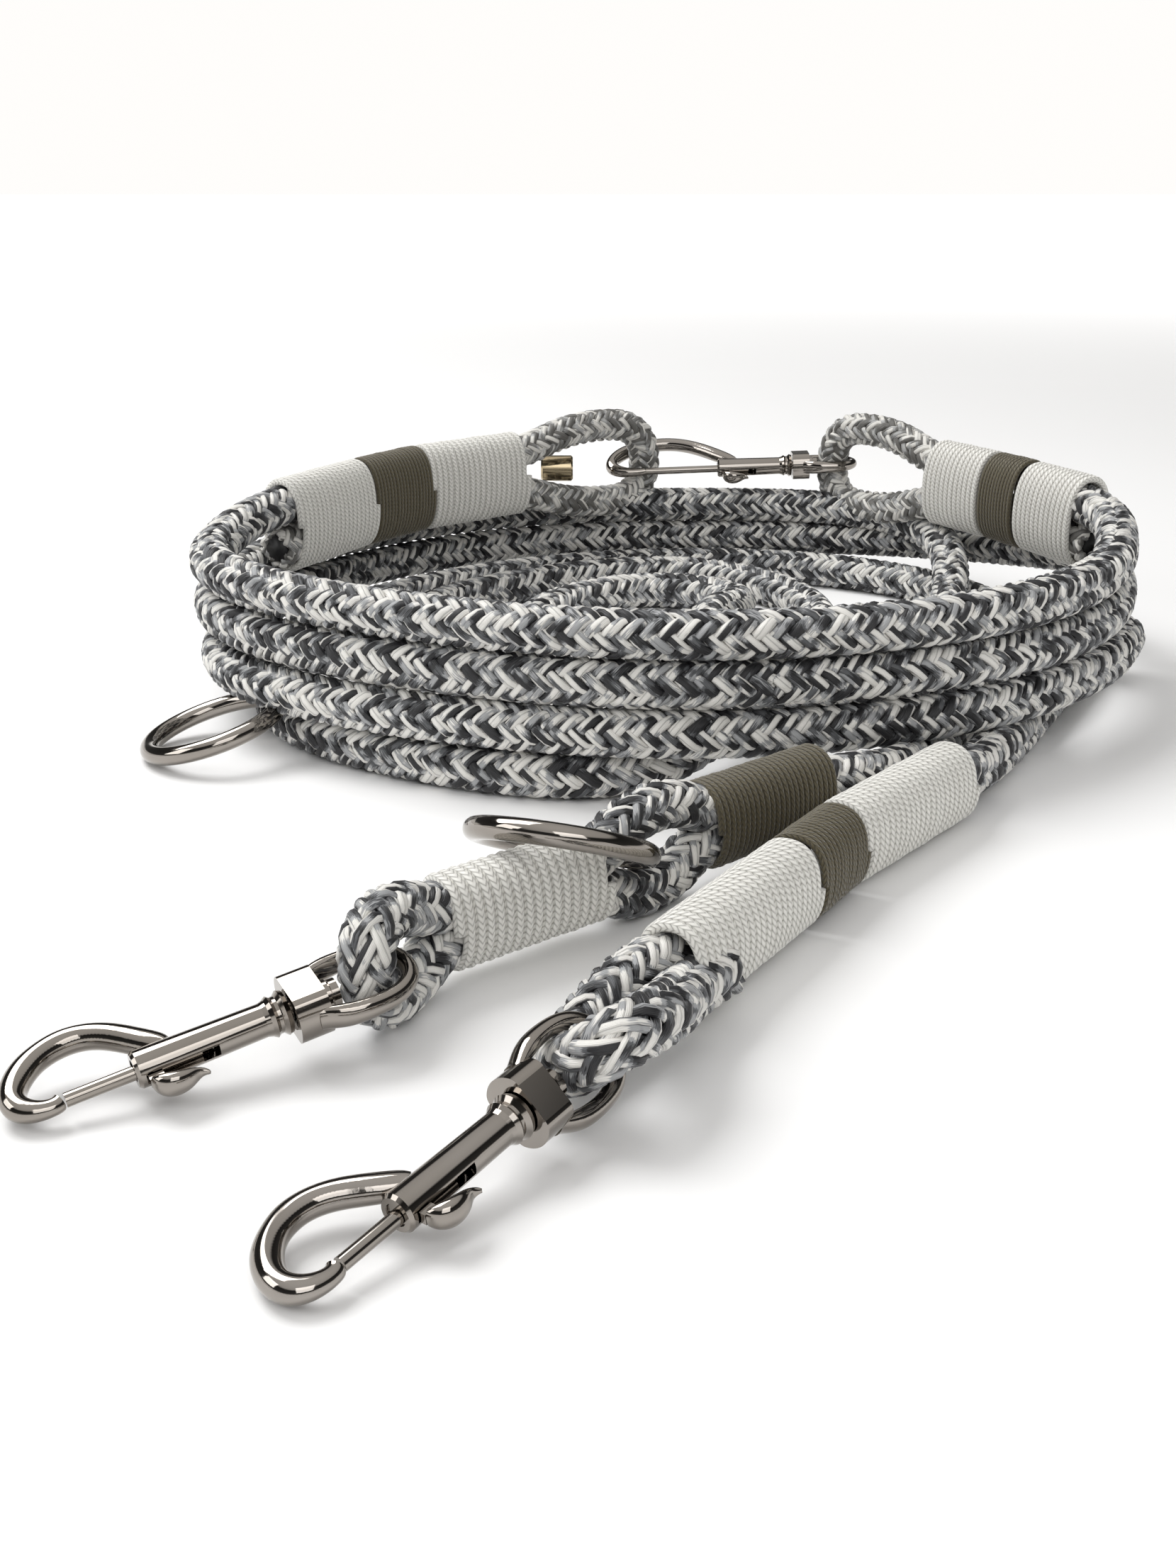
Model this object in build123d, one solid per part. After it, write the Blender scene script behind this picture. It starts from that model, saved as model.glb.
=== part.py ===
from build123d import *
import math
import os

# Braided rope leash, coiled. Millimetres, +Z up, floor at z = 0.
# +X runs to the right of the coil, -Y towards the two loose ends.
# Every place below is measured from the middle of the coil; layout_shift then
# moves the whole leash so that the middle of its footprint is the origin.

# ---- driving dimensions ----
layout_shift = (0.9, 74.3, 0.0)
up = (0, 0, 1)

rope_dia = 10.0
slim_dia = 8.2              # rope where it is pulled tight into a loop
coil_half_x = 112.0         # coil centre line, half length along X
coil_half_y = 100.0         # coil centre line, half length along Y
pile_height = 30.0          # three turns under the closing strand
back_height = 20.0          # only two turns at the back
wall_inset = 6.0            # how far the piled turns reach inside their centre line
floor_void_centre = (-14.0, -16.0)
floor_void_half = (86.0, 72.0)      # open middle of the looser turns on the floor

served_size = (16.5, 12.6)          # tall, wide: whipping over the two legs of a line end
closing_served_size = (24.0, 13.6)  # whipping over the two legs of a closing eye
twine_thick = 1.9

# Closing strand, resting on the pile: one open turn, from the left whipping to the right one.
closing_route = [
    (-99.5, 7.0, 37.8), (-104.5, -5.0, 37.0), (-107.0, -18.0, 35.8), (-106.0, -33.0, 35.2),
    (-99.5, -48.5, 35.2), (-88.5, -63.5, 35.2), (-73.0, -76.5, 35.2), (-54.5, -87.5, 35.2),
    (-33.0, -96.0, 35.2), (-10.0, -100.5, 35.2), (14.0, -100.0, 35.2), (36.5, -94.5, 35.2),
    (56.5, -85.5, 35.2), (73.5, -73.0, 35.2), (88.0, -57.0, 35.2), (98.0, -39.0, 35.2),
    (104.5, -20.0, 35.6), (108.0, -3.0, 36.6), (106.5, 11.0, 37.6),
]
left_served = [(-99.5, 7.0, 34.4), (-83.0, 38.0, 34.8), (-69.0, 57.0, 35.2), (-42.0, 79.5, 35.6)]
left_bight = (-4.5, 104.2, 35.0)
right_served = [(106.5, 11.0, 34.4), (96.5, 33.0, 34.9), (90.0, 46.0, 35.1), (78.0, 66.0, 35.4)]
right_bight = (52.5, 98.2, 35.0)
closing_leg_half = 5.2
closing_half = 10.9

# Line end 1: eye, white whipping, two open legs that hold a ring, olive whipping, then the line.
end_1_white = [(-45.3, -180.2, 10.4), (-20.5, -161.0, 11.2)]
end_1_olive = [(-2.5, -143.0, 12.2), (21.0, -124.0, 13.0)]
end_1_bight = (-53.4, -199.4, 10.9)
end_1_lift = (-0.06, -0.22, 0.97)
end_1_lead = [(21.0, -124.0, 13.0), (29.0, -116.0, 11.5), (36.0, -107.0, 8.6), (42.0, -95.5, 6.4)]

# Line end 2: eye, then white, olive and white whippings in a row, then the line.
end_2_served = [(-10.0, -196.0, 9.7), (12.5, -159.0, 8.8), (22.5, -142.5, 8.6), (49.5, -108.5, 8.5)]
end_2_bight = (-22.6, -222.2, 10.4)
end_2_lift = (0.484, -0.55, 0.682)
end_2_snap_at = (-23.1, -221.7, 9.7)      # on the bight's tangent, where the swivel eye sits
end_2_lead = [(49.5, -108.5, 8.5), (55.0, -100.0, 7.4), (61.0, -89.5, 6.4), (66.0, -79.5, 5.6)]

end_leg_half = 2.9          # half the spacing of the legs where they leave a whipping
end_loop_half = 6.3         # half the spacing of the legs at the bight of end 1
end_2_loop_half = 8.8
open_leg_half = 7.25        # half the spacing of the legs round the ring

ring_wire = 4.0
ring_mean = 14.5            # 25 mm inside
front_ring_held = (-13.8, -155.5, 11.57)
front_ring_out = (-0.840, -0.414, 0.351)
front_ring_across = (0.521, -0.797, 0.306)
left_ring_held = (-89.0, -68.0, 10.4)
left_ring_out = (-0.954, -0.106, -0.281)
left_ring_across = (0.110, -0.994, 0.0)
ring_pocket = (32.0, 38.0, 9.0)     # room for the left ring between two turns
pocket_offset = (-1.5, 0.0, 1.5)

ferrule_dia = 7.6
ferrule_len = 9.5
ferrule_at = (-31.0, 92.3, 34.6)

# Bolt snap, from the swivel collar at x = 0 to the hook at +x; the rope crosses its eye at -x.
barrel_len = 22.3
barrel_r = 2.75
bore_r = 1.6
bore_start = 2.2
shaft_clear = 0.06          # radial running clearance of bolt and swivel
bolt_rear = 13.0
bolt_travel = 8.0
gate_r = 1.05
gate_y = -0.4
gate_tip = 32.6
tip_gap = 0.7
slot_half = 0.9
post_front = 21.0
post_rear = 18.9
block_near = -0.25
block_far = -5.2
block_r = 5.2
stud_r = 1.2
rivet_front = -5.45
rivet_far = -7.7
bight_x = -12.6
# hook centre line beyond the barrel: distance along the axis, height on the bulge side
hook_outline = [(17.0, 2.2), (21.5, 7.0), (27.0, 10.6), (32.5, 10.0), (36.8, 6.4), (38.0, 2.6), (36.2, -0.1),
                (gate_tip, gate_y)]
hook_half_wide = [1.4, 2.0, 2.0, 1.9, 1.9, 1.9, 2.0, 2.0, 1.9, 1.6, 1.25]
hook_half_thick = [1.5, 1.9, 2.0, 2.0, 2.0, 2.0, 2.0, 2.0, 1.9, 1.5, 1.25]
hook_root_x = 17.0
closing_hook_stretch = 1.78
closing_hook_bulge = 1.25

parts = {}


def unit(v):
    return Vector(*v).normalized()


def corner_radii(points):
    """The largest arc that each corner's two runs allow, with a margin."""
    radii = []
    for before, here, after in zip(points, points[1:], points[2:]):
        first, second = here - before, after - here
        half_turn = math.radians(first.get_angle(second)) / 2
        radii.append(0.45 * min(first.length, second.length) / math.tan(half_turn))
    return radii


def tube_along(name, points, radii, diameter):
    """A closed round tube along straight runs joined by tangent arcs."""
    path = FilletPolyline(*points, radius=radii)
    start = Plane(origin=path @ 0, z_dir=path % 0)
    tube = sweep(start * Circle(diameter / 2), path=path)
    section = math.pi * diameter**2 / 4
    print(f"{name}: length {path.length:.1f}, radii {min(radii):.1f} to {max(radii):.0f},"
          f" volume / (section x length) {tube.volume / (section * path.length):.3f}")
    return tube


def rope_tube(name, route, diameter=rope_dia):
    points = [Vector(*p) for p in route]
    return tube_along(name, points, corner_radii(points), diameter)


def oval_bar(start, end, lift, tall, wide):
    """A straight bar of oval section from start to end, tall along lift."""
    a, b = Vector(*start), Vector(*end)
    side = (b - a).cross(Vector(*lift))
    section = Plane(origin=a, z_dir=b - a, x_dir=side) * Ellipse(wide / 2, tall / 2)
    return extrude(section, (b - a).length)


def served_legs(start, end, lift, size):
    """The two rope legs squeezed together inside a whipping."""
    tall, wide = size
    return oval_bar(start, end, lift, tall - 2 * twine_thick, wide - 2 * twine_thick)


def whipping(start, end, lift, size):
    """A sleeve of wound twine round two rope legs."""
    return oval_bar(start, end, lift, *size) - served_legs(start, end, lift, size)


def rope_eye(name, face, bight, lift, leg_half, half):
    """A rope loop that leaves a whipping's face, goes round a bight and comes back."""
    origin, reach, side = Vector(*face), Vector(*bight) - Vector(*face), unit(lift)
    outline = [(0, -leg_half), (0.45, -half), (1, -half * 0.98), (1, half * 0.98), (0.45, half), (0, leg_half)]
    points = [origin + reach * x + side * y for x, y in outline]
    radii = corner_radii(points)
    half_turns = [math.radians((points[i] - points[i - 1]).get_angle(points[i + 1] - points[i])) / 2
                  for i in (2, 3)]
    radii[1] = radii[2] = 1.88 * half / sum(math.tan(turn) for turn in half_turns)
    return tube_along(name, points, radii, slim_dia)


def bar_along(points, half_wide, half_thick):
    """A solid bar lofted through ovals along a smooth curve in the local XY plane."""
    curve = Spline(*[Vector(x, y, 0) for x, y in points])
    last = len(half_wide) - 1
    sections = []
    for i in range(last + 1):
        station = Plane(origin=curve @ (i / last), z_dir=curve % (i / last), x_dir=(0, 0, 1))
        sections.append(station * Ellipse(half_thick[i], half_wide[i]))
    return loft(sections)


def rod_x(radius, start, end, y=0.0):
    """A round rod along X."""
    return Plane(origin=(start, y, 0), z_dir=(1, 0, 0)) * extrude(Circle(radius), end - start)


def stretched(x, stretch):
    return hook_root_x + (x - hook_root_x) * stretch


# ---- bolt snap, in its own frame ----
def snap_hook(stretch, bulge, travel):
    """Barrel with collar beads, swivel stud, and the hook that ends opposite the gate."""
    profile = [(0, 0), (0, 3.1), (0.7, 3.35), (1.3, 2.75), (1.8, 2.75), (2.3, 3.1), (2.9, 2.7),
               (3.6, 2.5), (barrel_len - 0.5, barrel_r), (barrel_len, barrel_r - 0.4), (barrel_len, 0)]
    barrel = revolve(make_face(Polyline(*profile, close=True)), Axis.X)
    outline = [(stretched(x, stretch), y * bulge if y > 0 else y) for x, y in hook_outline]
    body = barrel + bar_along(outline, hook_half_wide, hook_half_thick)
    body += rod_x(stud_r, rivet_front, 0.5)
    body -= rod_x(bore_r, bore_start, barrel_len + 1.0)
    slot_len = post_front - post_rear + travel + 0.4
    slot_mid = post_front + 0.2 - slot_len / 2
    return body - Pos(slot_mid, -barrel_r, 0) * Box(slot_len, 2 * barrel_r - 0.8, 2 * slot_half)


def snap_eye():
    """Swivel block, bored for the stud, with the U-shaped eye that the rope crosses."""
    block = Pos((block_near + block_far) / 2, 0, 0) * Box(block_near - block_far, 11.0, 7.6)
    block &= rod_x(block_r, block_far, block_near)
    block = fillet(block.edges().filter_by(Axis.X), 1.7)
    bow_path = [(-3.6, 4.4), (-7.5, 5.75), (-12.5, 6.0), (-16.8, 4.3), (-18.6, 0.0),
                (-16.8, -4.3), (-12.5, -6.0), (-7.5, -5.75), (-3.6, -4.4)]
    half_wide = [1.1, 1.3, 1.35, 1.3, 1.3, 1.3, 1.3, 1.3, 1.3, 1.3, 1.35, 1.3, 1.1]
    half_thick = [1.9, 1.9, 1.75, 1.6, 1.5, 1.4, 1.4, 1.4, 1.5, 1.6, 1.75, 1.9, 1.9]
    eye = block + bar_along(bow_path, half_wide, half_thick)
    eye -= rod_x(stud_r + shaft_clear, block_far - 0.5, block_near + 0.5)
    return eye - rod_x(2.7, rivet_far - 0.4, block_far)


def snap_rivet():
    """Head that keeps the eye on the stud: two rings with a waist."""
    front = rod_x(2.35, rivet_front - 0.85, rivet_front)
    waist = rod_x(1.8, rivet_front - 1.25, rivet_front - 0.6)
    return front + waist + rod_x(2.1, rivet_far, rivet_front - 1.15)


def snap_bolt(stretch):
    """Sliding bolt: plunger in the bore, thin gate rod, post through the slot and thumb lever."""
    plunger = rod_x(bore_r - shaft_clear, bolt_rear, barrel_len - 0.3)
    gate = rod_x(gate_r, barrel_len - 1.0, stretched(gate_tip, stretch) - tip_gap, gate_y)
    post_len = post_front - post_rear
    post = Pos(post_rear + post_len / 2, -2.4, 0) * Box(post_len, 2.6, 2 * slot_half - 0.3)
    lever = bar_along([(20.4, -3.6), (19.3, -4.9), (17.0, -5.5), (14.9, -5.2), (13.4, -5.9)],
                      [0.7, 1.3, 1.35, 1.1, 0.6, 0.2], [1.2, 1.8, 1.9, 1.6, 1.0, 0.3])
    return plunger + gate + post + lever


def snap_spring():
    """Return spring between the bore's end and the plunger."""
    wire_r = 0.2
    room = bolt_rear - bore_start
    height = room - 2 * wire_r - 0.2
    path = Helix(pitch=height / 6, height=height, radius=bore_r - 0.45)
    coil = sweep(Plane(origin=path @ 0, z_dir=path % 0) * Circle(wire_r), path=path, is_frenet=True)
    return Plane(origin=(bore_start + wire_r + 0.1, 0, 0), z_dir=(1, 0, 0)) * coil


def add_snap(name, bight, axis, eye_normal, hook_normal, stretch=1.0, bulge=1.0, travel=bolt_travel):
    """Places a snap so that its eye takes the rope at the bight; the hook may be turned in its swivel."""
    out = unit(axis)
    collar = Vector(*bight) - out * bight_x
    pieces = {
        "swivel_eye": (snap_eye(), eye_normal),
        "hook_body": (snap_hook(stretch, bulge, travel), hook_normal),
        "swivel_rivet": (snap_rivet(), hook_normal),
        "bolt": (snap_bolt(stretch), hook_normal),
        "bolt_spring": (snap_spring(), hook_normal),
    }
    for piece, (shape, normal) in pieces.items():
        square = Vector(*normal) - out * Vector(*normal).dot(out)
        parts[f"{name}_{piece}"] = Plane(origin=collar, x_dir=out, z_dir=square) * shape
    print(f"{name}: collar at {tuple(collar)}, axis {tuple(out)}")


# ---- coil ----
def coil_solid():
    """The piled turns: a wall three ropes high, two at the back, and looser turns on the floor inside."""
    half = rope_dia / 2
    outer = Ellipse(coil_half_x + half, coil_half_y + half)
    inner = Ellipse(coil_half_x - wall_inset, coil_half_y - wall_inset)
    wall = extrude(outer - inner, pile_height)
    wall = fillet(wall.edges().group_by(Axis.Z)[-1], half * 0.6)
    over = pile_height + 5
    slope = Polyline((20, pile_height), (80, back_height), (130, back_height), (130, over), (20, over), close=True)
    wall -= extrude(Plane.YZ * make_face(slope), 140, both=True)
    floor_turns = Ellipse(coil_half_x, coil_half_y)
    floor_turns -= Pos(*floor_void_centre) * Ellipse(*floor_void_half)
    return wall + extrude(floor_turns, rope_dia)


def ring_plane(held, out, across):
    """Plane of a ring that passes the point held, lies towards out and runs along across there."""
    direction = unit(out)
    centre = Vector(*held) + direction * ring_mean
    return Plane(origin=centre, x_dir=direction, z_dir=direction.cross(unit(across)))


def make_coil():
    pocket = ring_plane(left_ring_held, left_ring_out, left_ring_across) * (Pos(*pocket_offset) * Box(*ring_pocket))
    parts["rope_coil"] = coil_solid() - pocket
    parts["rope_closing_strand"] = rope_tube("closing strand", closing_route)


def make_rings():
    ring = Torus(ring_mean, ring_wire / 2)
    parts["front_ring"] = ring_plane(front_ring_held, front_ring_out, front_ring_across) * ring
    parts["left_ring"] = ring_plane(left_ring_held, left_ring_out, left_ring_across) * ring


# ---- line ends ----
def make_end_1():
    low, high = end_1_white
    olive_low, olive_high = end_1_olive
    parts["whipping_end_1_white"] = whipping(low, high, up, served_size)
    parts["whipping_end_1_olive"] = whipping(olive_low, olive_high, up, served_size)
    legs = [served_legs(*end_1_white, up, served_size), served_legs(*end_1_olive, up, served_size)]
    parts["rope_end_1_legs"] = Compound(legs)
    parts["rope_end_1_eye"] = rope_eye("end 1 eye", low, end_1_bight, end_1_lift, end_leg_half, end_loop_half)
    start, gap = Vector(*high), Vector(*olive_low) - Vector(*high)
    heights = [(0.0, end_leg_half), (0.3, open_leg_half), (0.7, open_leg_half * 1.01), (1.0, end_leg_half)]
    for side, sign in (("upper", 1), ("lower", -1)):
        route = [start + gap * share + Vector(0, 0, sign * height) for share, height in heights]
        parts[f"rope_end_1_{side}_leg"] = rope_tube(f"end 1 {side} leg", [tuple(p) for p in route], slim_dia)
    parts["rope_end_1_lead"] = rope_tube("end 1 lead", end_1_lead)


def make_end_2():
    legs = []
    for name, start, end in zip(("white_low", "olive", "white_high"), end_2_served, end_2_served[1:]):
        parts[f"whipping_end_2_{name}"] = whipping(start, end, up, served_size)
        legs.append(served_legs(start, end, up, served_size))
    parts["rope_end_2_legs"] = Compound(legs)
    parts["rope_end_2_eye"] = rope_eye("end 2 eye", end_2_served[0], end_2_bight, end_2_lift,
                                       end_leg_half, end_2_loop_half)
    parts["rope_end_2_lead"] = rope_tube("end 2 lead", end_2_lead)


def make_closing_eye(side, points, bight):
    legs = []
    for name, start, end in zip(("white_outer", "olive", "white_inner"), points, points[1:]):
        parts[f"whipping_{side}_{name}"] = whipping(start, end, up, closing_served_size)
        legs.append(served_legs(start, end, up, closing_served_size))
    parts[f"rope_{side}_legs"] = Compound(legs)
    parts[f"rope_{side}_eye"] = rope_eye(f"{side} eye", points[-1], bight, up, closing_leg_half, closing_half)


def make_ferrule():
    body = rod_x(ferrule_dia / 2, -ferrule_len / 2, ferrule_len / 2)
    parts["loop_ferrule"] = Pos(*ferrule_at) * chamfer(body.edges(), 0.5)


make_coil()
make_rings()
make_end_1()
make_end_2()
make_closing_eye("left", left_served, left_bight)
make_closing_eye("right", right_served, right_bight)
make_ferrule()
add_snap("snap_1", end_1_bight, (-0.868, -0.471, -0.165), end_1_lift, (0.04, 0.25, -0.96))
add_snap("snap_2", end_2_snap_at, (-0.611, -0.776, -0.144), end_2_lift, (0.10, 0.13, -0.98))
add_snap("snap_3", right_bight, (-0.999, 0.015, -0.041), up, (0.044, 0.418, -0.905),
         closing_hook_stretch, closing_hook_bulge, bolt_travel)

os.makedirs("parts", exist_ok=True)
for node, shape in parts.items():
    moved = Pos(*layout_shift) * shape
    export_step(moved, f"parts/{node}.step")
box = Compound([Pos(*layout_shift) * shape for shape in parts.values()]).bounding_box()
print("nodes", len(parts), "box", tuple(box.min), tuple(box.max))
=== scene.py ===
import math
import random

import bpy
import numpy as np
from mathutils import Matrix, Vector


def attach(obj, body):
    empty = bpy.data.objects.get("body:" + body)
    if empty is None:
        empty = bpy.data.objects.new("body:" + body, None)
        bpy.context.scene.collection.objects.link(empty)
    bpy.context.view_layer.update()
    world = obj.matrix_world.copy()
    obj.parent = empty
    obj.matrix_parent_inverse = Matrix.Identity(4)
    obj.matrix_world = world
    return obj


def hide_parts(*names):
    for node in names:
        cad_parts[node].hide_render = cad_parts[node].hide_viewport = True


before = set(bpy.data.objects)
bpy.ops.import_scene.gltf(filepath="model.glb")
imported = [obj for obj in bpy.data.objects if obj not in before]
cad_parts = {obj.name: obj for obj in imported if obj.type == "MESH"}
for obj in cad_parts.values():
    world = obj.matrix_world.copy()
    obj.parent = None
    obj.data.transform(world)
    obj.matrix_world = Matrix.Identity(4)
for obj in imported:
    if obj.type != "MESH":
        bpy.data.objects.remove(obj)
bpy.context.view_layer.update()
print("frame loaded")

mm = 0.001
layoutShift = (0.9, 74.3, 0.0)   # the coil's middle, seen from the middle of the footprint
ropeRadius = 5.0
random.seed(7)


def place(point):
    return Vector([(p + s) * mm for p, s in zip(point, layoutShift)])


# camera
view = {"at": (-21.7, -420.0, 122.0), "pitch": 20.2, "lens": 52.08, "sensor": 36.0, "clip": 0.01}


def addCamera():
    data = bpy.data.cameras.new("viewCamera")
    data.sensor_fit = "HORIZONTAL"
    data.sensor_width = view["sensor"]
    data.lens = view["lens"]
    data.clip_start = view["clip"]
    camera = bpy.data.objects.new("viewCamera", data)
    camera.location = place(view["at"])
    camera.rotation_euler = (math.radians(90 - view["pitch"]), 0, 0)
    bpy.context.scene.collection.objects.link(camera)
    bpy.context.scene.camera = camera


addCamera()


class Signal:
    # a socket that takes part in plain arithmetic
    def __init__(self, nodes, socket):
        self.nodes = nodes
        self.socket = socket

    def math(self, operation, *values):
        return self.nodes.node("ShaderNodeMath", {"operation": operation}, values)

    def __add__(self, other):
        return self.math("ADD", self, other)

    def __radd__(self, other):
        return self.math("ADD", other, self)

    def __sub__(self, other):
        return self.math("SUBTRACT", self, other)

    def __rsub__(self, other):
        return self.math("SUBTRACT", other, self)

    def __mul__(self, other):
        return self.math("MULTIPLY", self, other)

    def __rmul__(self, other):
        return self.math("MULTIPLY", other, self)

    def __truediv__(self, other):
        return self.math("DIVIDE", self, other)

    def __pow__(self, other):
        return self.math("POWER", self, other)

    def floor(self):
        return self.math("FLOOR", self)

    def fract(self):
        return self.math("FRACT", self)

    def abs(self):
        return self.math("ABSOLUTE", self)

    def sin(self):
        return self.math("SINE", self)

    def below(self, limit):
        return self.math("LESS_THAN", self, limit)

    def clamp(self):
        return self.nodes.node("ShaderNodeClamp", {}, (self, 0.0, 1.0))


class Nodes:
    # a node tree and the one way that its nodes are made
    def __init__(self, tree):
        self.tree = tree
        self.tree.nodes.clear()

    def node(self, kind, settings, inputs=(), out=0):
        made = self.tree.nodes.new(kind)
        for key, value in settings.items():
            if key == "stops":
                self.setStops(made.color_ramp, value)
            elif key == "interpolation":
                made.color_ramp.interpolation = value
            else:
                setattr(made, key, value)
        for key, value in (inputs.items() if isinstance(inputs, dict) else enumerate(inputs)):
            self.feed(made.inputs[key], value)
        return Signal(self, made.outputs[out] if len(made.outputs) else None)

    def setStops(self, ramp, stops):
        while len(ramp.elements) < len(stops):
            ramp.elements.new(0.5)
        for element, (at, colour) in zip(ramp.elements, stops):
            element.position = at
            element.color = (*colour, 1.0)

    def feed(self, socket, value):
        if isinstance(value, Signal):
            self.tree.links.new(value.socket, socket)
        else:
            socket.default_value = value

    def mix(self, share, first, second):
        return self.node("ShaderNodeMix", {"data_type": "RGBA"}, {"Factor": share, 6: first, 7: second},
                         out=2)

    def ramp(self, value, stops, interpolation="LINEAR"):
        return self.node("ShaderNodeValToRGB", {"interpolation": interpolation, "stops": stops}, (value,))

    def coordinates(self, kind):
        return self.node("ShaderNodeTexCoord", {}, out=kind)

    def combined(self, x, y, z):
        return self.node("ShaderNodeCombineXYZ", {}, (x, y, z))

    def separated(self, vector, axis):
        return self.node("ShaderNodeSeparateXYZ", {}, (vector,), out=axis)

    def noise(self, where, scale, detail):
        return self.node("ShaderNodeTexNoise", {}, {"Vector": where, "Scale": scale, "Detail": detail})

    def bump(self, height, strength, distance):
        return self.node("ShaderNodeBump", {}, {"Height": height, "Strength": strength, "Distance": distance})


class Paint(Nodes):
    # one material with a Principled shader
    def __init__(self, name, **uniform):
        self.material = bpy.data.materials.new(name)
        self.material.use_nodes = True
        super().__init__(self.material.node_tree)
        shaded = self.node("ShaderNodeBsdfPrincipled", {})
        self.shader = shaded.socket.node
        self.node("ShaderNodeOutputMaterial", {}, {"Surface": shaded})
        self.surface(**uniform)

    def surface(self, **inputs):
        for socket, value in inputs.items():
            self.feed(self.shader.inputs[socket.replace("_", " ")], value)
        return self.material

    def yarnMap(self):
        # distance along the yarn in millimetres, and the strand's number plus the share across it
        yarn = self.node("ShaderNodeUVMap", {"uv_map": "yarn"})
        return self.separated(yarn, "X"), self.separated(yarn, "Y")


# one strand of the rope carries a few yarns side by side, each of its own changing shade
ropeDye = {
    "yarns": 2, "twistPerMm": 0.08, "filaments": 5,
    "shadePerMm": 0.15, "shadeDetail": 1.5, "yarnsApart": 5.37, "strandsApart": 3.71,
    "fleckPerMm": 0.5, "fleckAcross": 6.0, "fleckApart": 2.3, "fleckShare": 0.10,
    "black": (0.010, 0.010, 0.012), "slate": (0.090, 0.094, 0.100),
    "grey": (0.365, 0.372, 0.380), "cream": (0.800, 0.785, 0.745),
    "bands": [("black", 0.0, 0.430), ("slate", 0.442, 0.472), ("grey", 0.484, 0.525), ("cream", 0.540, 1.0)],
    "gap": (0.02, 0.02, 0.022, 1), "paintedHighlightColour": (0.62, 0.60, 0.54, 1), "core": (0.012, 0.012, 0.013, 1),
    "grooveSharpness": 5.0, "grooveShade": 0.45, "filamentShade": 0.10,
    "grooveDepth": 0.8, "filamentDepth": 0.25, "bump": 0.55, "bumpReach": 0.0003,
    "smoothest": 0.36, "fleckRoughness": 0.2, "sheen": 0.08, "sheenSpread": 0.4, "shine": 0.5,
}


def ropePaint(name, paintedHighlightShare):
    dye = ropeDye
    paint = Paint(name, Sheen_Weight=dye["sheen"], Sheen_Roughness=dye["sheenSpread"],
                  Specular_IOR_Level=dye["shine"])
    along, across = paint.yarnMap()
    strand = across.floor()
    width = across.fract() * dye["yarns"] + along * dye["twistPerMm"]
    shadeAt = paint.combined(along * dye["shadePerMm"], width.floor() * dye["yarnsApart"],
                             strand * dye["strandsApart"])
    shade = paint.noise(shadeAt, 1.0, dye["shadeDetail"])
    fleckAt = paint.combined(along * dye["fleckPerMm"], width * dye["fleckAcross"],
                             strand * dye["fleckApart"])
    fleck = paint.noise(fleckAt, 1.0, 1.0)
    stops = [(at, dye[colour]) for colour, *ends in dye["bands"] for at in ends]
    colour = paint.ramp(shade + (fleck - 0.5) * dye["fleckShare"], stops)
    # painted shade: the grooves between yarns and the fine filament lines are darkened toward a near-black
    # shadow colour
    groove = ((width.fract() - 0.5).abs() * 2.0) ** dye["grooveSharpness"]
    filament = (width * (dye["filaments"] * 2 * math.pi)).sin() * 0.5 + 0.5
    shadow = (groove * dye["grooveShade"] + filament * dye["filamentShade"]).clamp()
    colour = paint.mix(shadow, colour, dye["gap"])
    # painted highlight: the far pieces of rope are mixed toward a cream colour so they read lighter
    if paintedHighlightShare:
        colour = paint.mix(paintedHighlightShare, colour, dye["paintedHighlightColour"])
    colour = paint.mix(across.below(0.0), colour, dye["core"])
    height = 1.0 - groove * dye["grooveDepth"] - filament * dye["filamentDepth"]
    return paint.surface(Base_Color=colour, Normal=paint.bump(height, dye["bump"], dye["bumpReach"]),
                         Roughness=dye["smoothest"] + fleck * dye["fleckRoughness"])


# flat waxed twine with a chevron weave in four columns round the band
twineWeave = {
    "columns": 4.0, "chevron": 1.05, "slant": 1.6, "seamSharpness": 6.0, "valleySharpness": 3.0,
    "valleyShade": 0.75, "seamShade": 0.5, "wearPerMm": 0.05, "wearAcross": 3.0, "wearDetail": 3.0,
    "wearShare": 0.5, "beadEvery": 1.15, "beadHalf": 0.27, "bump": 0.6, "bumpReach": 0.0003,
    "smoothest": 0.5, "valleyRoughness": 0.2, "sheen": 0.3, "sheenSpread": 0.5, "shine": 0.45,
}


def twinePaint(name, body, shade, bead=None):
    weave = twineWeave
    paint = Paint(name, Sheen_Weight=weave["sheen"], Sheen_Roughness=weave["sheenSpread"],
                  Specular_IOR_Level=weave["shine"])
    along, across = paint.yarnMap()
    sides = (across * weave["columns"]).fract() - 0.5
    chevron = (along / weave["chevron"] + sides.abs() * weave["slant"]).fract() - 0.5
    seam = (1.0 - sides.abs() * 2.0) ** weave["seamSharpness"]
    valley = (chevron.abs() * 2.0) ** weave["valleySharpness"]
    valley = (valley * weave["valleyShade"] + seam * weave["seamShade"]).clamp()
    wearAt = paint.combined(along * weave["wearPerMm"], across * weave["wearAcross"], 0.0)
    wear = (paint.noise(wearAt, 1.0, weave["wearDetail"]) - 0.5).clamp() * weave["wearShare"]
    # painted shade in the chevron valleys and along the seams between columns; the random wear darkens toward
    # the same colour
    colour = paint.mix(valley, (*body, 1), (*shade, 1))
    colour = paint.mix(wear, colour, (*shade, 1))
    if bead:
        spaced = ((along / weave["beadEvery"]).fract() - 0.5).abs().below(weave["beadHalf"])
        inRow = (across - bead["at"]).abs().below(bead["half"])
        colour = paint.mix(spaced * inRow, colour, (*bead["colour"], 1))
    return paint.surface(Base_Color=colour, Roughness=weave["smoothest"] + valley * weave["valleyRoughness"],
                         Normal=paint.bump(1.0 - valley, weave["bump"], weave["bumpReach"]))


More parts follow.
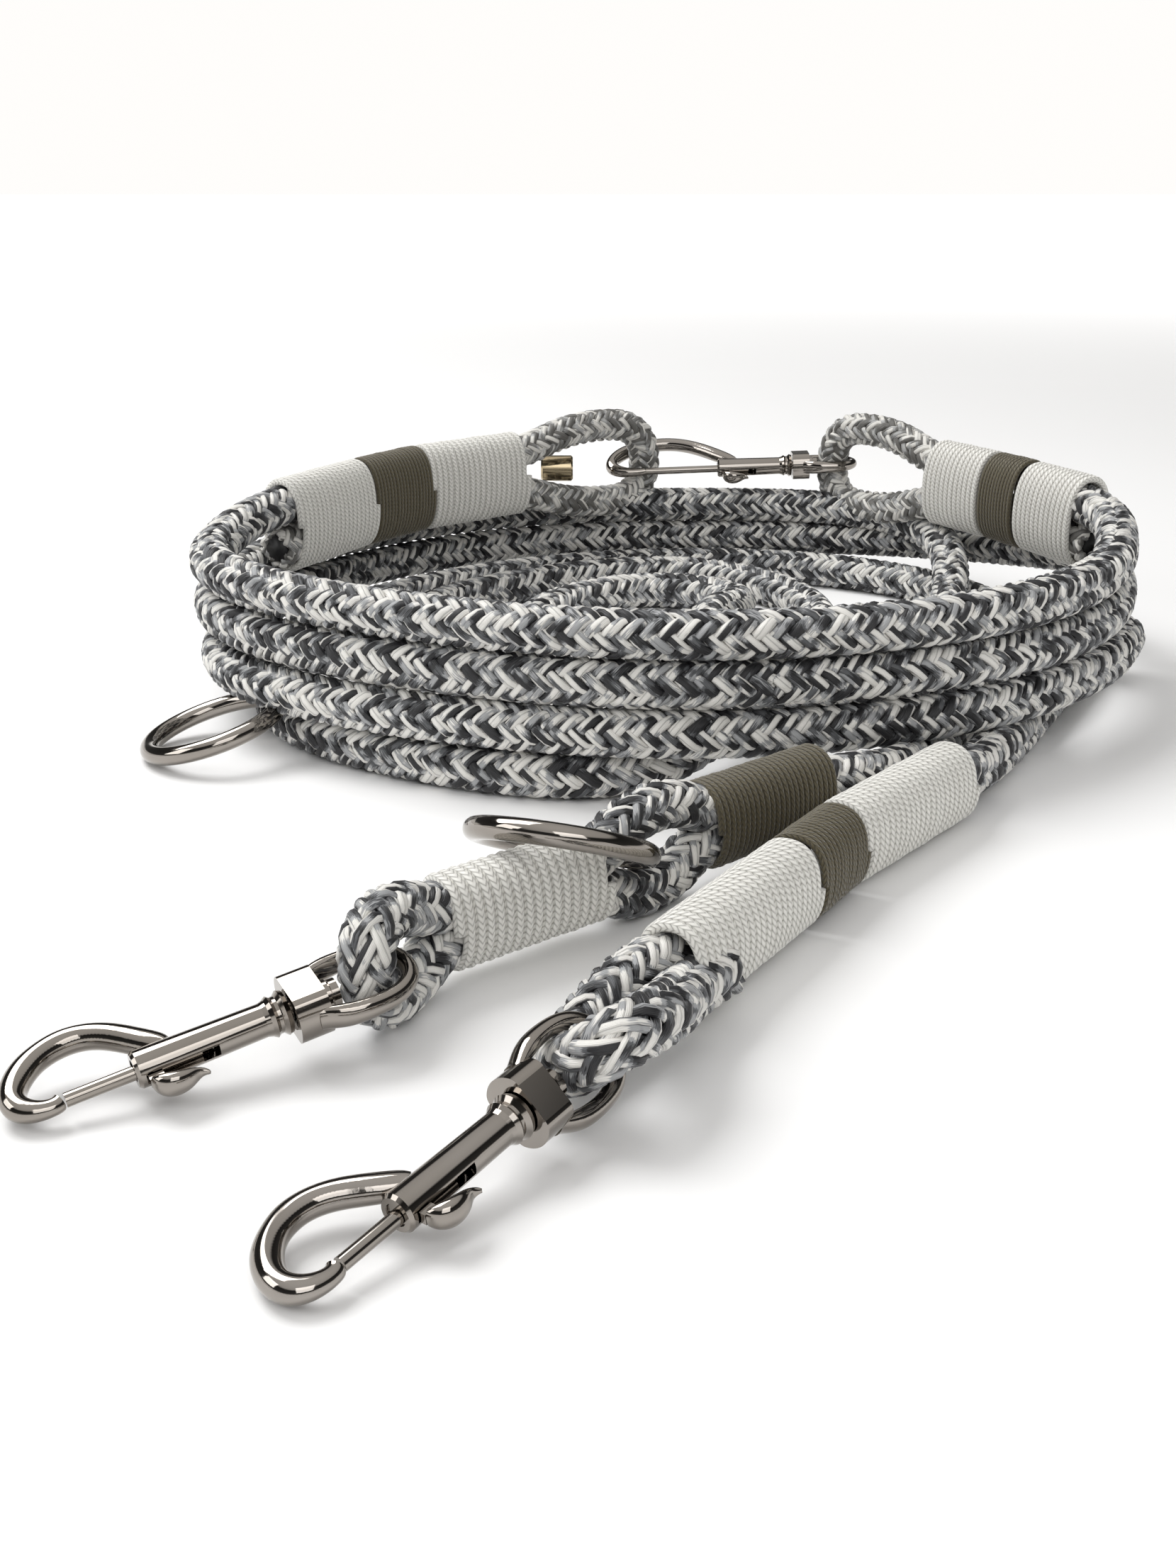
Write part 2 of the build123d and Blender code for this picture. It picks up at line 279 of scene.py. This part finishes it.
# plated metal with a faint film and cloudy tint
metalFilm = {
    "filmScale": 260.0, "filmDetail": 4.0, "filmRoughness": 0.10, "cloudScale": 45.0, "cloudDetail": 2.0,
    "cloudContrast": 1.6, "bump": 0.04, "bumpReach": 0.0004,
}


def metalPaint(name, colour, roughness, worn):
    paint = Paint(name, Metallic=1.0)
    at = paint.coordinates("Object")
    film = paint.noise(at, metalFilm["filmScale"], metalFilm["filmDetail"])
    cloud = paint.noise(at, metalFilm["cloudScale"], metalFilm["cloudDetail"])
    tint = paint.mix((cloud * metalFilm["cloudContrast"] - 0.5).clamp(), (*colour, 1), (*worn, 1))
    spread = metalFilm["filmRoughness"]
    return paint.surface(Base_Color=tint, Roughness=film * spread + (roughness - spread / 2),
                         Normal=paint.bump(cloud, metalFilm["bump"], metalFilm["bumpReach"]))


ropeNear = ropePaint("braidedRope", 0.0)
# the far copy of the rope is the same rope with a painted highlight that makes it lighter
ropeFarPaintedLighter = ropePaint("braidedRopeFarPaintedLighter", 0.18)
whiteTwine = twinePaint("whiteTwine", (0.80, 0.79, 0.745), (0.36, 0.35, 0.32))
oliveTwine = twinePaint("oliveTwine", (0.105, 0.088, 0.048), (0.035, 0.028, 0.015),
                        {"at": 0.16, "half": 0.055, "colour": (0.52, 0.44, 0.24)})
nickel = metalPaint("smokedNickel", (0.33, 0.305, 0.28), 0.08, (0.25, 0.225, 0.195))
bronze = metalPaint("bronzeMetal", (0.50, 0.41, 0.27), 0.16, (0.36, 0.29, 0.18))
springSteel = metalPaint("springSteel", (0.55, 0.55, 0.55), 0.25, (0.42, 0.42, 0.42))
print("materials mixed")


# cord lines
lineDetail = 24      # points that the spline makes between two control points


def smoothLine(points, step):
    # the spline through a cord's control points, as evenly spaced points
    data = bpy.data.curves.new("cordLine", "CURVE")
    data.dimensions = "3D"
    data.resolution_u = lineDetail
    spline = data.splines.new("NURBS")
    spline.points.add(len(points) - 1)
    for target, point in zip(spline.points, points):
        target.co = (*place(point), 1.0)
    spline.order_u = 3
    spline.use_endpoint_u = True
    holder = bpy.data.objects.new("cordLine", data)
    bpy.context.scene.collection.objects.link(holder)
    bpy.context.view_layer.update()
    mesh = bpy.data.meshes.new_from_object(holder.evaluated_get(bpy.context.evaluated_depsgraph_get()))
    line = np.array([v.co for v in mesh.vertices], float)
    bpy.data.meshes.remove(mesh)
    bpy.data.objects.remove(holder)
    bpy.data.curves.remove(data)
    travelled = distances(line)
    count = max(2, int(round(travelled[-1] / step)) + 1)
    even = np.linspace(0, travelled[-1], count)
    return np.stack([np.interp(even, travelled, line[:, i]) for i in range(3)], axis=1)


def distances(line):
    # how far along the line each of its points is
    return np.concatenate([[0], np.cumsum(np.linalg.norm(np.diff(line, axis=0), axis=1))])


def directions(vectors):
    return vectors / np.linalg.norm(vectors, axis=1)[:, None]


def carriedFrames(line):
    # two directions square to the line at each point, carried along without twist
    tangent = directions(np.gradient(line, axis=0))
    normal = np.zeros_like(line)
    start = np.cross(tangent[0], (0.0, 0.0, 1.0))
    normal[0] = start / np.linalg.norm(start)
    for i in range(1, len(line)):
        carried = normal[i - 1] - tangent[i] * np.dot(normal[i - 1], tangent[i])
        normal[i] = carried / np.linalg.norm(carried)
    return normal, np.cross(tangent, normal)


def addMesh(name, tubes, material):
    # each tube is (rings of points, u along, v around); its ends are closed
    points, faces, coords, caps, capCoords = [], [], [], [], []
    base = 0
    for rings, along, around in tubes:
        count, sides = rings.shape[:2]
        points.append(rings.reshape(-1, 3))
        index = base + np.arange(count * sides).reshape(count, sides)
        a, b = index[:-1], index[1:]
        nextSide = np.roll(np.arange(sides), -1)
        faces.append(np.stack([a, a[:, nextSide], b[:, nextSide], b], axis=-1).reshape(-1, 4))
        u = np.broadcast_to(along[:, None], (count, sides))
        v0 = np.broadcast_to(around[:sides], (count, sides))
        v1 = np.broadcast_to(around[1:sides + 1], (count, sides))
        corners = [(u[:-1], v0[:-1]), (u[:-1], v1[:-1]), (u[1:], v1[1:]), (u[1:], v0[1:])]
        coords.append(np.stack([np.stack(corner, -1) for corner in corners], axis=2).reshape(-1, 2))
        middle = math.floor(min(around)) + 0.5 if min(around) >= 0 else -0.5
        caps += [index[0, ::-1].tolist(), index[-1].tolist()]
        capCoords += [(along[0], middle)] * sides + [(along[-1], middle)] * sides
        base += count * sides
    polygons = np.concatenate(faces).tolist() + caps
    mesh = bpy.data.meshes.new(name)
    mesh.from_pydata(np.concatenate(points).tolist(), [], polygons)
    values = np.concatenate(coords + [np.array(capCoords)])
    mesh.uv_layers.new(name="yarn").data.foreach_set("uv", values.astype(np.float32).ravel())
    mesh.polygons.foreach_set("use_smooth", [True] * len(polygons))
    mesh.materials.append(material)
    mesh.update()
    piece = bpy.data.objects.new(name, mesh)
    bpy.context.scene.collection.objects.link(piece)
    return piece


# the braid; sizes are shares of the rope's radius
braid = {
    "carriers": 8,                            # strands each way
    "lay": 28.0, "stepsPerLay": 26,           # length of one full turn of a strand, and its rings
    "middle": 0.775, "weave": 0.105,          # strand's centre, and its rise over and under
    "crossing": 2.2, "crossingPhase": 11.25,  # how sharply a strand rises, and where, in degrees
    "halfWide": 0.242, "halfThick": 0.155,    # strand section
    "section": [(-1.0, -0.1), (-0.74, 0.6), (-0.28, 0.96), (0.28, 0.96),
                (0.74, 0.6), (1.0, -0.1), (0.5, -0.8), (-0.5, -0.8)],
    "across": [0.02, 0.14, 0.36, 0.64, 0.86, 0.98, 0.75, 0.25, 0.02],
    "core": 0.66, "coreSides": 10,
    "otherWay": 20, "strandStretch": 1.4,     # keep the dye of each strand and each piece apart
}


def braidedRope(name, line, radius, start, material):
    # two sets of strands wound opposite ways, each over two and under two
    r = radius * mm
    lay = braid["lay"] * mm * (radius / ropeRadius)
    normal, binormal = carriedFrames(line)
    along = start + distances(line)
    wide, thick = r * braid["halfWide"], r * braid["halfThick"]
    tubes = []
    for way in (1, -1):
        for k in range(braid["carriers"]):
            theta = way * 2 * np.pi * (along / lay + k / braid["carriers"])
            swing = np.cos(braid["carriers"] / 2 * (theta - np.radians(braid["crossingPhase"])))
            wave = np.tanh(braid["crossing"] * swing) / math.tanh(braid["crossing"])
            distance = r * (braid["middle"] + way * braid["weave"] * wave)
            outward = normal * np.cos(theta)[:, None] + binormal * np.sin(theta)[:, None]
            centre = line + outward * distance[:, None]
            run = directions(np.gradient(centre, axis=0))
            side = directions(np.cross(run, outward))
            lift = np.cross(side, run)
            rings = np.stack([centre + side * (x * wide) + lift * (y * thick) for x, y in braid["section"]],
                             axis=1)
            strand = (k + 1) + (0 if way > 0 else braid["otherWay"])
            tubes.append((rings, (start * braid["strandStretch"] + distances(centre)) / mm,
                          np.array(braid["across"]) + strand))
    sides = braid["coreSides"]
    around = np.linspace(0, 2 * np.pi, sides, endpoint=False)[::-1]
    core = np.stack([line + (normal * math.cos(t) + binormal * math.sin(t)) * (r * braid["core"])
                     for t in around], axis=1)
    tubes.append((core, along / mm, np.full(sides + 1, -0.5)))
    return addMesh(name, tubes, material)


def ropeLine(points, radius=ropeRadius):
    return smoothLine(points, braid["lay"] * mm * (radius / ropeRadius) / braid["stepsPerLay"])


def addRope(name, line, radius, start, material, replaced=(), declared=True):
    piece = braidedRope(name, line, radius, start, material)
    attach(piece, "root")
    if replaced:
        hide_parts(*replaced)
    length = float(distances(line)[-1])
    if declared:
        2 * radius * mm
    print(name, "length", round(length, 3))
    return length


# the leash line, from the second loose end round the coil to the first loose end
endTwoLead = [
    (41.0, -119.5, 8.6), (49.5, -108.5, 8.5), (55.0, -100.0, 7.4), (61.0, -89.5, 6.4), (66.0, -79.5, 5.6),
    (73.0, -66.0, 5.2), (80.0, -52.0, 5.1), (87.0, -39.0, 5.1),
]
sideBight = [
    (93.0, -27.0, 5.1), (98.5, -16.0, 5.6), (104.5, -7.0, 7.6), (109.5, -9.0, 10.6), (108.5, -20.0, 13.4),
]
firstTurn = [
    (104.0, -32.0, 15.0), (97.5, -46.0, 15.0), (87.5, -59.5, 15.0), (73.5, -73.5, 15.0),
    (56.5, -85.5, 15.0), (36.0, -94.5, 15.0), (14.0, -100.0, 15.0), (-10.0, -101.0, 15.0),
    (-33.0, -97.0, 15.0), (-55.0, -89.5, 15.0), (-75.0, -79.5, 15.0), (-91.5, -68.0, 15.0),
    (-102.0, -54.0, 15.0), (-107.0, -37.0, 15.0), (-108.0, -19.0, 14.8), (-107.5, 0.0, 14.3),
    (-103.5, 20.0, 13.5), (-96.5, 38.0, 12.8), (-86.0, 56.0, 12.3), (-72.0, 72.0, 12.0),
    (-54.0, 86.0, 12.0), (-32.0, 96.0, 12.0), (-8.0, 101.0, 12.0), (18.0, 101.5, 12.0), (42.0, 98.0, 12.5),
    (62.0, 91.0, 13.5), (80.0, 79.0, 15.0), (94.0, 64.0, 17.0), (104.0, 47.0, 19.5), (110.0, 31.0, 22.0),
    (111.0, 15.0, 24.0), (109.0, -3.0, 25.0),
]
secondTurn = [
    (105.0, -21.0, 25.0), (98.5, -39.0, 25.0), (88.5, -57.0, 25.0), (74.0, -73.0, 25.0),
    (56.5, -85.5, 25.0), (36.5, -94.5, 25.1), (14.0, -99.8, 25.1), (-10.0, -100.5, 25.1),
    (-33.0, -96.0, 25.1), (-55.0, -88.0, 25.1), (-76.0, -77.0, 25.1), (-93.5, -63.0, 25.1),
    (-104.5, -47.0, 25.1), (-109.5, -30.0, 25.0), (-110.5, -12.0, 25.0), (-109.0, 6.0, 24.5),
    (-104.5, 24.0, 23.5), (-97.0, 41.0, 22.6), (-86.0, 58.0, 22.2), (-72.0, 73.0, 22.0),
    (-54.0, 86.5, 22.0), (-32.0, 96.0, 22.0), (-8.0, 101.0, 22.0), (18.0, 101.5, 22.0), (42.0, 98.0, 22.3),
    (60.0, 90.0, 22.4), (73.0, 79.0, 21.5),
]
innerTurn = [
    (80.0, 66.0, 19.0), (80.5, 50.0, 15.0), (77.0, 34.0, 10.0), (72.0, 18.0, 6.2), (66.0, 2.0, 5.0),
    (59.0, -14.0, 5.0), (50.0, -30.0, 5.0), (38.0, -45.0, 5.0), (22.0, -57.0, 5.0), (3.0, -64.0, 5.0),
    (-17.0, -66.0, 5.0), (-37.0, -62.0, 5.0), (-55.0, -52.0, 5.0), (-68.0, -37.0, 5.0), (-75.0, -19.0, 5.0),
    (-77.0, 0.0, 5.0), (-75.0, 19.0, 5.0), (-67.0, 37.0, 5.0), (-55.0, 54.0, 5.0), (-40.0, 67.5, 5.0),
    (-22.0, 77.5, 5.0), (-4.0, 82.5, 5.0), (12.0, 81.0, 5.0), (25.0, 71.0, 5.0), (35.0, 56.0, 5.0),
    (40.5, 39.0, 5.0), (41.0, 21.0, 5.0), (36.0, 4.0, 5.0), (25.0, -11.0, 5.0), (9.0, -20.0, 5.0),
    (-9.0, -21.0, 5.0), (-25.0, -13.0, 5.0), (-35.0, 2.0, 5.0), (-38.0, 20.0, 5.0), (-33.0, 38.0, 5.0),
    (-22.0, 53.0, 5.0), (-5.0, 62.0, 5.0), (12.0, 56.0, 5.3), (19.0, 42.0, 6.5), (19.0, 26.0, 9.0),
    (14.0, 10.0, 12.0), (9.0, -6.0, 14.6), (7.0, -20.0, 15.4), (9.0, -34.0, 14.4), (12.0, -48.0, 14.6),
    (13.0, -61.0, 15.4), (10.0, -74.0, 13.4), (3.0, -86.0, 9.0),
]
outerFloorTurn = [
    (-9.0, -95.0, 5.6), (-27.0, -97.5, 5.0), (-46.0, -92.0, 5.0), (-64.0, -82.5, 5.0), (-79.0, -71.5, 5.0),
    (-89.5, -58.0, 5.0), (-95.0, -42.0, 5.0), (-98.0, -25.0, 5.0), (-98.5, -7.0, 5.0), (-96.0, 11.0, 5.0),
    (-91.0, 27.0, 5.0), (-83.0, 42.0, 5.0), (-72.0, 56.5, 5.0), (-58.0, 69.5, 5.0), (-41.0, 81.0, 5.0),
    (-22.0, 89.0, 5.0), (-1.0, 93.5, 5.0), (20.0, 94.0, 5.0), (41.0, 90.0, 5.0), (60.0, 81.0, 5.0),
    (76.0, 67.0, 5.0), (87.0, 50.0, 5.0), (92.0, 31.0, 5.0), (90.0, 11.0, 5.0), (84.5, -9.0, 5.0),
    (76.5, -29.0, 5.0), (67.0, -49.0, 5.0), (57.0, -67.0, 5.0), (49.0, -82.0, 5.4),
]
endOneLead = [
    (42.5, -95.5, 6.4), (36.0, -107.0, 8.6), (29.0, -116.0, 11.5), (21.0, -124.0, 13.0),
    (13.0, -130.3, 12.8),
]
leashLine = ropeLine(endTwoLead + sideBight + firstTurn + secondTurn + innerTurn + outerFloorTurn
                     + endOneLead)
leashPieces = 6
closingPoints = [
    (-91.0, 24.0, 40.2), (-99.5, 7.0, 39.6), (-106.0, -5.0, 38.2), (-109.5, -18.0, 36.4),
    (-109.5, -33.0, 35.3), (-103.5, -48.5, 35.2), (-91.5, -63.5, 35.2), (-75.0, -76.5, 35.2),
    (-55.0, -87.5, 35.2), (-33.0, -96.0, 35.2), (-10.0, -100.5, 35.2), (14.0, -100.0, 35.2),
    (36.5, -94.5, 35.2), (56.5, -85.5, 35.2), (73.5, -73.0, 35.2), (88.0, -57.0, 35.2), (98.0, -39.0, 35.2),
    (104.5, -20.0, 35.8), (108.5, -3.0, 37.4), (106.5, 11.0, 39.0), (99.5, 27.0, 40.0),
]
closingLine = ropeLine(closingPoints)


def makeLeashLine():
    cuts = np.linspace(0, len(leashLine) - 1, leashPieces + 1).astype(int)
    spacing = np.linalg.norm(leashLine[1] - leashLine[0])
    standsFor = {0: ("rope_coil", "rope_end_2_lead"), leashPieces - 1: ("rope_end_1_lead",)}
    total = 0.0
    for i in range(leashPieces):
        line = leashLine[cuts[i]:cuts[i + 1] + 1]
        total += addRope(f"leashLine{i + 1}", line, ropeRadius, cuts[i] * spacing, ropeNear,
                         standsFor.get(i, ()))
    print("leash line total", round(total, 3))


def makeClosingStrand():
    addRope("closingStrand", closingLine, ropeRadius, 0.0, ropeNear, ("rope_closing_strand",))


# rope eyes: from inside a whipping, round the bight, and back
eyes = {
    "endOneEye": {
        "face": (-45.3, -180.2, 10.4), "bight": (-53.4, -199.4, 10.9), "whip": (-20.5, -161.0, 11.2),
        "lift": (-0.06, -0.22, 0.97), "legs": 2.9, "half": 6.3, "swell": (-2.5, 1.5, 0.6), "inside": 9.0,
        "radius": 4.3, "node": "rope_end_1_eye", "material": ropeNear},
    "endTwoEye": {   # turns as it leaves its whipping, so its far leg passes behind the near one
        "points": [(-6.8, -187.5, 10.6), (-12.4, -194.6, 11.6), (-20.0, -204.5, 9.4), (-27.0, -217.0, 5.0),
                   (-18.6, -227.2, 15.8), (-10.4, -212.0, 12.6), (-7.6, -197.8, 8.2), (-1.6, -190.5, 8.2)],
        "radius": 4.4, "node": "rope_end_2_eye", "material": ropeNear},
    "leftEye": {
        "face": (-42.0, 79.5, 35.6), "bight": (-4.5, 104.2, 35.0), "whip": (-69.0, 57.0, 35.2),
        "lift": (0, 0, 1), "legs": 5.4, "half": 11.2, "swell": (0, 0, 1.0), "inside": 9.0,
        "radius": 4.6, "node": "rope_left_eye", "material": ropeFarPaintedLighter},
    "rightEye": {
        "face": (78.0, 66.0, 35.4), "bight": (52.5, 98.2, 35.0), "whip": (90.0, 46.0, 35.1),
        "lift": (0, 0, 1), "legs": 5.4, "half": 11.2, "swell": (0, 0, 1.0), "inside": 9.0,
        "radius": 4.6, "node": "rope_right_eye", "material": ropeFarPaintedLighter},
}
eyeShape = {"swollenAt": 0.45, "tucked": 0.8, "bight": 0.98}   # shares of the reach, the legs and the half


def eyePoints(eye):
    face, bight, lift = Vector(eye["face"]), Vector(eye["bight"]), Vector(eye["lift"]).normalized()
    back = (Vector(eye["whip"]) - face).normalized() * eye["inside"]
    widest = face + (bight - face) * eyeShape["swollenAt"]
    legs, tuck = lift * eye["legs"], lift * (eye["legs"] * eyeShape["tucked"])
    half, turn = lift * eye["half"], lift * (eye["half"] * eyeShape["bight"])
    return [face + back - tuck, face - legs, widest - half, bight - turn,
            bight + turn, widest + half + Vector(eye["swell"]), face + legs, face + back + tuck]


def makeEyes():
    for name, eye in eyes.items():
        line = ropeLine(eye["points"] if "points" in eye else eyePoints(eye), eye["radius"])
        addRope(name, line, eye["radius"], 0.0, eye["material"], (eye["node"],))


# the two open legs that hold the ring on the first end
openLegs = {
    "start": (-20.5, -161.0, 11.2), "end": (-2.5, -143.0, 12.2), "near": 2.9, "half": 7.25, "radius": 4.3,
    "inside": 8.0, "tucked": 0.7, "apartAt": 0.3, "apartGrowth": 1.01, "dyeStart": 0.01,
}


def makeOpenLegs():
    shape = openLegs
    start, end = Vector(shape["start"]), Vector(shape["end"])
    run = (end - start).normalized() * shape["inside"]
    for name, sign in (("upper", 1), ("lower", -1)):
        near, half = Vector((0, 0, sign * shape["near"])), Vector((0, 0, sign * shape["half"]))
        tuck = near * shape["tucked"]
        points = [start - run + tuck, start + near, start.lerp(end, shape["apartAt"]) + half,
                  start.lerp(end, 1 - shape["apartAt"]) + half * shape["apartGrowth"], end + near,
                  end + run + tuck]
        addRope(f"{name}OpenLeg", ropeLine(points, shape["radius"]), shape["radius"], shape["dyeStart"],
                ropeNear, (f"rope_end_1_{name}_leg",), declared=False)


# cut rope ends that are folded back and served over beside the closing strand
cutEnds = {
    "left": [(-89.0, 26.0, 29.6), (-94.5, 16.5, 29.2), (-100.6, 5.0, 29.0)],
    "right": [(99.0, 27.0, 29.8), (103.0, 18.5, 29.5), (107.4, 9.0, 29.2)],
}
cutEndDye = 0.02


def makeCutEnds():
    for side, points in cutEnds.items():
        addRope(f"{side}CutEnd", ropeLine(points), ropeRadius, cutEndDye, ropeFarPaintedLighter, declared=False)


print("rope routes laid")
makeLeashLine()
makeCutEnds()
makeClosingStrand()
makeEyes()
makeOpenLegs()
print("ropes braided")

# whippings: twine wound round two rope legs
twines = {
    "white": {"pitch": 1.95, "thick": 0.92, "material": whiteTwine, "slot": "white_twine"},
    "olive": {"pitch": 1.28, "thick": 0.72, "material": oliveTwine, "slot": "olive_twine"},
}
winding = {
    "perWrap": 44, "looseness": 0.09,          # points in a wrap, and how far a wrap strays in millimetres
    "squareness": 0.86, "flatness": 0.54,      # below 1 the oval squares up; half a wrap's width, in pitches
    "sides": 8,
}
endSize = (16.5, 12.6)
closingSize = (24.0, 13.6)
whippings = [
    ("whipping_end_1_white", "white", (-45.3, -180.2, 10.4), (-20.5, -161.0, 11.2), endSize),
    ("whipping_end_1_olive", "olive", (-2.5, -143.0, 12.2), (21.0, -124.0, 13.0), endSize),
    ("whipping_end_2_white_low", "white", (-10.0, -196.0, 9.7), (12.5, -159.0, 8.8), endSize),
    ("whipping_end_2_olive", "olive", (12.5, -159.0, 8.8), (22.5, -142.5, 8.6), endSize),
    ("whipping_end_2_white_high", "white", (22.5, -142.5, 8.6), (49.5, -108.5, 8.5), endSize),
    ("whipping_left_white_outer", "white", (-99.5, 7.0, 34.4), (-83.0, 38.0, 34.8), closingSize),
    ("whipping_left_olive", "olive", (-83.0, 38.0, 34.8), (-69.0, 57.0, 35.2), closingSize),
    ("whipping_left_white_inner", "white", (-69.0, 57.0, 35.2), (-42.0, 79.5, 35.6), closingSize),
    ("whipping_right_white_outer", "white", (106.5, 11.0, 34.4), (96.5, 33.0, 34.9), closingSize),
    ("whipping_right_olive", "olive", (96.5, 33.0, 34.9), (90.0, 46.0, 35.1), closingSize),
    ("whipping_right_white_inner", "white", (90.0, 46.0, 35.1), (78.0, 66.0, 35.4), closingSize),
]


def windTwine(name, kind, start, end, size):
    twine = twines[kind]
    a, b = np.array(place(start)), np.array(place(end))
    length = np.linalg.norm(b - a)
    axis = (b - a) / length
    side = np.cross(axis, (0, 0, 1.0))
    side /= np.linalg.norm(side)
    tall = np.cross(side, axis)
    wraps = int(round(length / (twine["pitch"] * mm)))
    turn = np.linspace(0, 2 * np.pi * wraps, wraps * winding["perWrap"] + 1)
    looseness = winding["looseness"]
    stray = np.array([random.uniform(-looseness, looseness) for _ in range(wraps + 2)])
    loose = np.interp(turn / (2 * np.pi), np.arange(wraps + 2), stray) * mm
    half = twine["thick"] * mm
    tallReach, wideReach = [reach / 2 * mm - half + loose for reach in size]
    c, s = np.cos(turn), np.sin(turn)
    x = np.sign(c) * np.abs(c) ** winding["squareness"] * wideReach
    z = np.sign(s) * np.abs(s) ** winding["squareness"] * tallReach
    pitch = length / (wraps + 1)
    forward = pitch * (0.5 + turn / (2 * np.pi))
    line = a + axis * forward[:, None] + side * x[:, None] + tall * z[:, None]
    tangent = directions(np.gradient(line, axis=0))
    outward = directions(np.cross(tangent, axis))
    flat = np.cross(outward, tangent)
    around = np.linspace(0, 2 * np.pi, winding["sides"], endpoint=False)
    halfPitch = pitch * winding["flatness"]
    rings = np.stack([line + outward * (math.cos(t) * half) + flat * (math.sin(t) * halfPitch)
                      for t in around], axis=1)
    share = np.linspace(0, 1, winding["sides"] + 1)
    piece = addMesh(name.replace("whipping", "twine"), [(rings, distances(line) / mm, share)],
                    twine["material"])
    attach(piece, "root")
    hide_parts(name)


for whipping in whippings:
    windTwine(*whipping)
for hidden, standIn in (("rope_end_1_legs", "endOneEye"), ("rope_end_2_legs", "endTwoEye"),
                        ("rope_left_legs", "leftEye"), ("rope_right_legs", "rightEye")):
    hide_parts(hidden)
print("twine wound")

# metal parts keep their own shapes
finishes = {"loop_ferrule": bronze, "front_ring": nickel, "left_ring": nickel}
for name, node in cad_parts.items():
    finish = finishes.get(name)
    if name.startswith("snap_"):
        finish = springSteel if name.endswith("spring") else nickel
    if finish:
        node.data.materials.clear()
        node.data.materials.append(finish)
print("metal finished")

# stage: a pale floor that glows away from the object, three lamps and a sky that is bright at the horizon
floorLook = {"size": 12.0, "colour": (0.93, 0.93, 0.93, 1), "roughness": 0.6, "shine": 0.2,
             "glowFrom": 0.45, "glowOver": 1.5, "glow": (0.8, 0.8, 0.8)}
lights = {
    "keyLight": {"at": (-0.55, 0.35, 0.95), "towards": (0, 0, 0), "size": 0.7, "power": 9.0},
    "fillLight": {"at": (0.25, -1.1, 0.75), "towards": (0, 0, 0.02), "size": 0.8, "power": 4.5},
    "rimLight": {"at": (-0.9, -0.3, 0.5), "towards": (0, 0, 0.02), "size": 0.5, "power": 2.5},
}
skyLook = {"strength": 1.0, "tint": (1.0, 0.985, 0.965),
           "greys": [(0.0, 1.0), (0.10, 1.0), (0.17, 0.06), (0.58, 0.03), (0.68, 0.7), (1.0, 0.9)]}


def addStage():
    bpy.ops.mesh.primitive_plane_add(size=floorLook["size"])
    floor = bpy.context.object
    floor.name = "floor"
    paint = Paint("paleFloor", Roughness=floorLook["roughness"], Specular_IOR_Level=floorLook["shine"])
    away = paint.node("ShaderNodeVectorMath", {"operation": "LENGTH"}, (paint.coordinates("Object"),),
                      out="Value")
    glow = paint.ramp((away - floorLook["glowFrom"]) / floorLook["glowOver"],
                      [(0.0, (0, 0, 0)), (1.0, floorLook["glow"])], "EASE")
    paint.surface(Base_Color=floorLook["colour"], Emission_Color=glow, Emission_Strength=1.0)
    floor.data.materials.append(paint.material)


def addLight(name, at, towards, size, power):
    data = bpy.data.lights.new(name, "AREA")
    data.size = size
    data.energy = power
    lamp = bpy.data.objects.new(name, data)
    lamp.location = at
    lamp.rotation_euler = (Vector(towards) - Vector(at)).to_track_quat("-Z", "Y").to_euler()
    bpy.context.scene.collection.objects.link(lamp)


def addWorld():
    world = bpy.data.worlds.new("studio")
    bpy.context.scene.world = world
    world.use_nodes = True
    sky = Nodes(world.node_tree)
    height = sky.separated(sky.coordinates("Generated"), "Z")
    stops = [(at, [grey * part for part in skyLook["tint"]]) for at, grey in skyLook["greys"]]
    glow = sky.node("ShaderNodeBackground", {},
                    {"Color": sky.ramp(height, stops), "Strength": skyLook["strength"]})
    sky.node("ShaderNodeOutputWorld", {}, {"Surface": glow})


bpy.ops.object.select_all(action="DESELECT")
addStage()
for name, light in lights.items():
    addLight(name, **light)
addWorld()
bpy.context.scene.view_settings.view_transform = "Standard"
print("stage set")
